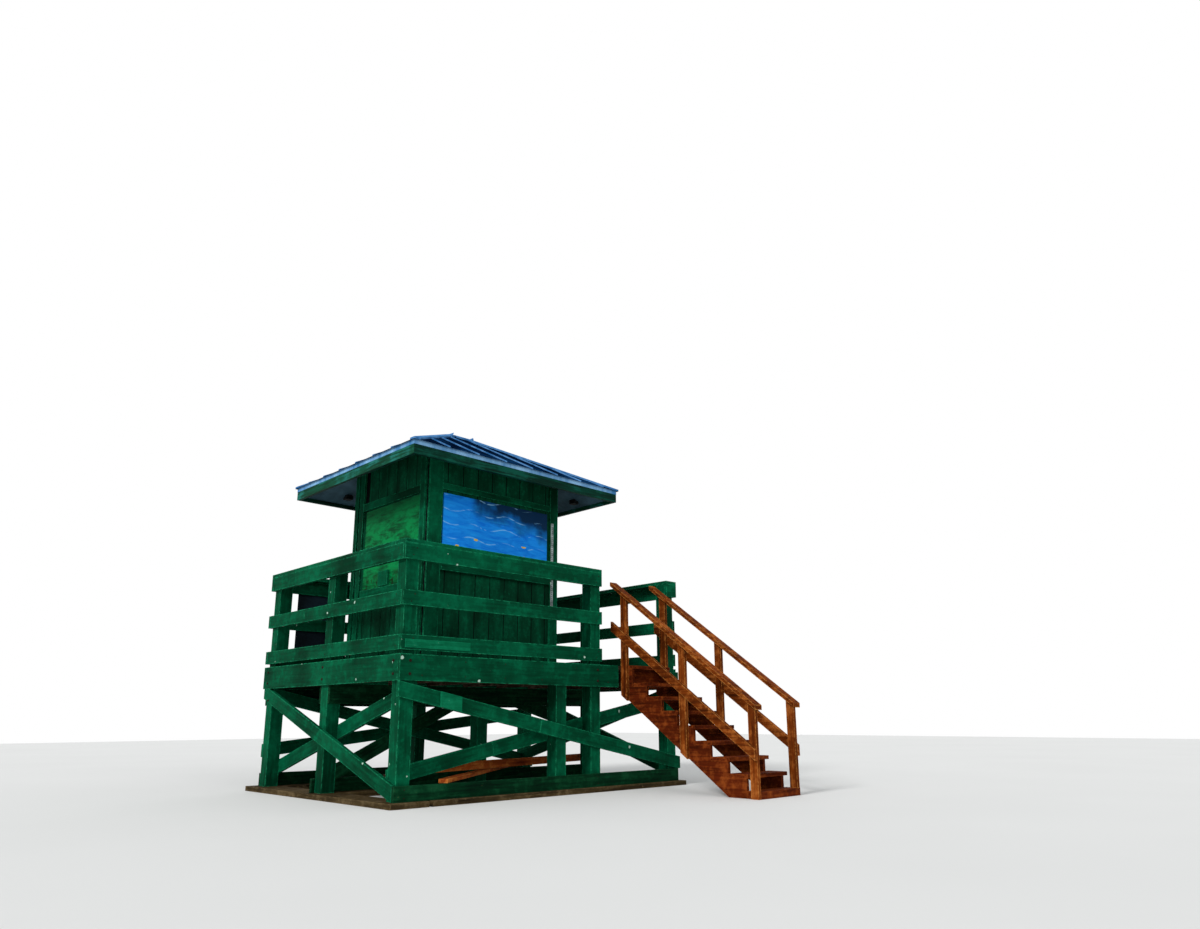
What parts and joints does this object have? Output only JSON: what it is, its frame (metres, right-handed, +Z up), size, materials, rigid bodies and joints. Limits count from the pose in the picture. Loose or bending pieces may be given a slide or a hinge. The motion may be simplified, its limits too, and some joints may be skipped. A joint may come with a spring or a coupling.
{
  "type": "lifeguard tower",
  "caption": "Beach lifeguard tower: a hip-roofed hut with closed shutters on a railed timber deck, raised on braced posts, with an open-tread stair to the deck.",
  "frame": {"origin": "centre of the bounding box's underside, at ground level", "axes": "+Z up, +X to the right along the front of the deck, +Y from the front to the back; the stair comes down towards -Y at the right of the front"},
  "size_m": [3.96, 4.845, 4.192],
  "materials": {
    "green_paint": "weathered paint",
    "shutter_green": "paint",
    "blue_paint": "paint",
    "panel_paint": "matt paint",
    "pale_paint": "matt paint",
    "bare_wood": "stained",
    "weathered_wood": "bare",
    "ground_wood": "weathered",
    "galvanised": "dull zinc",
    "fittings": "satin"
  },
  "bodies": {
    "root": {"ground_planks": "ground_wood", "front_posts": "green_paint", "middle_posts": "green_paint", "back_posts": "green_paint", "sills": "green_paint", "front_braces": "green_paint", "back_braces": "green_paint", "left_braces": "green_paint", "right_braces": "green_paint", "middle_beam": "green_paint", "deck_joists": "weathered_wood", "deck_boards": "weathered_wood", "deck_fascias": "green_paint", "landing_header": "bare_wood", "landing_fascia": "green_paint", "landing_edge": "bare_wood", "front_railing": "green_paint", "left_railing": "green_paint", "back_railing": "green_paint", "right_railing": "green_paint", "back_panel": "panel_paint", "front_wall": "green_paint", "back_wall": "green_paint", "left_wall": "green_paint", "right_wall": "green_paint", "corner_trims": "green_paint", "window_trims": "green_paint", "front_shutter": "blue_paint", "left_shutter": "shutter_green", "back_shutter": "shutter_green", "door": "green_paint", "door_trim": "green_paint", "door_hardware": "fittings", "roof_deck": "pale_paint", "eave_boards": "green_paint", "drip_edge": "galvanised", "roof_metal": "galvanised", "roof_ribs": "galvanised", "hip_caps": "galvanised", "perforated_strip": "galvanised", "stair_stringers": "bare_wood", "stair_treads": "bare_wood", "stair_posts": "bare_wood", "near_stair_rails": "bare_wood", "far_stair_rails": "bare_wood", "foot_board": "bare_wood", "loose_boards": "bare_wood"}
  },
  "joints": []
}
